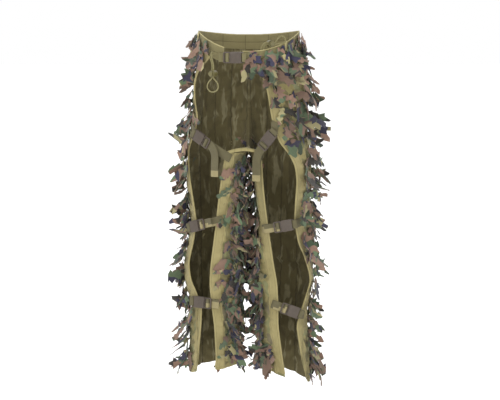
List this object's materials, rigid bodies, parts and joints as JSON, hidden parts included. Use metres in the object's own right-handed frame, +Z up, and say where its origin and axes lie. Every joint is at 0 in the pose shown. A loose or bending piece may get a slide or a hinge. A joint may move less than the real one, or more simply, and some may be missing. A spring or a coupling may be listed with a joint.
{
  "type": "ghillie trousers",
  "caption": "Open-front camouflage trousers covered in leaf-cut garnish, closed at the waist and down both legs by buckled webbing straps.",
  "frame": {"origin": "middle of the waist opening, level with the rim at the sides", "axes": "+Z up along the legs' length, -Y the wearer's front, +X the wearer's left"},
  "size_m": [0.4301, 0.2648, 1.028],
  "materials": {
    "waistband_cloth": "khaki olive twill, matte",
    "panel_cloth": "dark olive camouflage cloth, matte, with lighter blotches",
    "edge_tape": "pale khaki cloth, matte",
    "leaf_garnish": "leaf-cut camouflage cloth in greens, browns and navy, matte",
    "webbing": "olive woven webbing, matte",
    "buckle_plastic": "brown moulded acetal, satin",
    "drawcord": "olive braided cord",
    "lock_plastic": "dark olive moulded plastic, satin",
    "spring_steel": "plain spring steel"
  },
  "bodies": {
    "garment": {"waistband_back": "waistband_cloth", "waistband_front_left": "waistband_cloth", "waistband_front_right": "waistband_cloth", "belt_loop_right": "edge_tape", "tape_tab_left": "edge_tape", "drawcord_right": "drawcord", "drawcord_left": "drawcord", "cord_lock_left": "lock_plastic", "cord_lock_spring_left": "spring_steel", "side_panel_right": "panel_cloth", "back_panel_right": "panel_cloth", "inner_leg_panel_right": "panel_cloth", "outer_edge_tape_right": "edge_tape", "inner_edge_tape_right": "edge_tape", "side_panel_left": "panel_cloth", "back_panel_left": "panel_cloth", "inner_leg_panel_left": "panel_cloth", "outer_edge_tape_left": "edge_tape", "inner_edge_tape_left": "edge_tape", "crotch_gusset": "panel_cloth", "garnish_side_right": "leaf_garnish", "garnish_back_outer_right": "leaf_garnish", "garnish_back_inner_right": "leaf_garnish", "garnish_inner_right": "leaf_garnish", "garnish_side_left": "leaf_garnish", "garnish_back_outer_left": "leaf_garnish", "garnish_back_inner_left": "leaf_garnish", "garnish_inner_left": "leaf_garnish", "buckle_female_waist": "buckle_plastic", "web_fixed_waist": "webbing", "web_adjust_waist": "webbing", "buckle_female_thigh_right": "buckle_plastic", "web_fixed_thigh_right": "webbing", "web_adjust_thigh_right": "webbing", "buckle_female_thigh_left": "buckle_plastic", "web_fixed_thigh_left": "webbing", "web_adjust_thigh_left": "webbing", "buckle_female_knee_right": "buckle_plastic", "web_fixed_knee_right": "webbing", "web_adjust_knee_right": "webbing", "buckle_female_knee_left": "buckle_plastic", "web_fixed_knee_left": "webbing", "web_adjust_knee_left": "webbing", "buckle_female_calf_right": "buckle_plastic", "web_fixed_calf_right": "webbing", "web_adjust_calf_right": "webbing", "buckle_female_calf_left": "buckle_plastic", "web_fixed_calf_left": "webbing", "web_adjust_calf_left": "webbing"},
    "male_waist": {"buckle_male_waist": "buckle_plastic"},
    "male_thigh_right": {"buckle_male_thigh_right": "buckle_plastic"},
    "male_thigh_left": {"buckle_male_thigh_left": "buckle_plastic"},
    "male_knee_right": {"buckle_male_knee_right": "buckle_plastic"},
    "male_knee_left": {"buckle_male_knee_left": "buckle_plastic"},
    "male_calf_right": {"buckle_male_calf_right": "buckle_plastic"},
    "male_calf_left": {"buckle_male_calf_left": "buckle_plastic"},
    "cord_lock_right": {"cord_lock_right": "lock_plastic", "cord_lock_spring_right": "spring_steel"},
    "lock_button_right": {"cord_lock_button_right": "lock_plastic"},
    "lock_button_left": {"cord_lock_button_left": "lock_plastic"}
  },
  "joints": [
    {"name": "release_waist", "type": "slide", "parent": "garment", "child": "male_waist", "axis": [-0.9661, 0.2582, 0], "range_m": [0, 0.028], "deforming": ["web_adjust_waist"]},
    {"name": "release_thigh_right", "type": "slide", "parent": "garment", "child": "male_thigh_right", "axis": [0.7163, -0.485, -0.5017], "range_m": [0, 0.028], "deforming": ["web_adjust_thigh_right"]},
    {"name": "release_thigh_left", "type": "slide", "parent": "garment", "child": "male_thigh_left", "axis": [-0.5967, 0.2318, -0.7682], "range_m": [0, 0.028], "deforming": ["web_adjust_thigh_left"]},
    {"name": "release_knee_right", "type": "slide", "parent": "garment", "child": "male_knee_right", "axis": [0.7357, -0.6288, 0.2516], "range_m": [0, 0.028], "deforming": ["web_adjust_knee_right"]},
    {"name": "release_knee_left", "type": "slide", "parent": "garment", "child": "male_knee_left", "axis": [-0.9818, 0.0677, -0.1771], "range_m": [0, 0.028], "deforming": ["web_adjust_knee_left"]},
    {"name": "release_calf_right", "type": "slide", "parent": "garment", "child": "male_calf_right", "axis": [0.9177, -0.3927, -0.0599], "range_m": [0, 0.028], "deforming": ["web_adjust_calf_right"]},
    {"name": "release_calf_left", "type": "slide", "parent": "garment", "child": "male_calf_left", "axis": [-0.9146, -0.193, 0.3552], "range_m": [0, 0.028], "deforming": ["web_adjust_calf_left"]},
    {"name": "cord_lock_slide_right", "type": "slide", "parent": "garment", "child": "cord_lock_right", "axis": [0, 0, 1], "range_m": [0, 0.018], "deforming": ["drawcord_right"]},
    {"name": "lock_button_right", "type": "slide", "parent": "cord_lock_right", "child": "lock_button_right", "axis": [0.4868, 0.8735, 0], "range_m": [0, 0.003], "stiffness_N_per_m": 120, "springref_m": -0.002, "deforming": ["cord_lock_spring_right"]},
    {"name": "lock_button_left", "type": "slide", "parent": "garment", "child": "lock_button_left", "axis": [-0.3194, 0.9476, 0], "range_m": [0, 0.003], "stiffness_N_per_m": 120, "springref_m": -0.002, "deforming": ["cord_lock_spring_left"]}
  ]
}
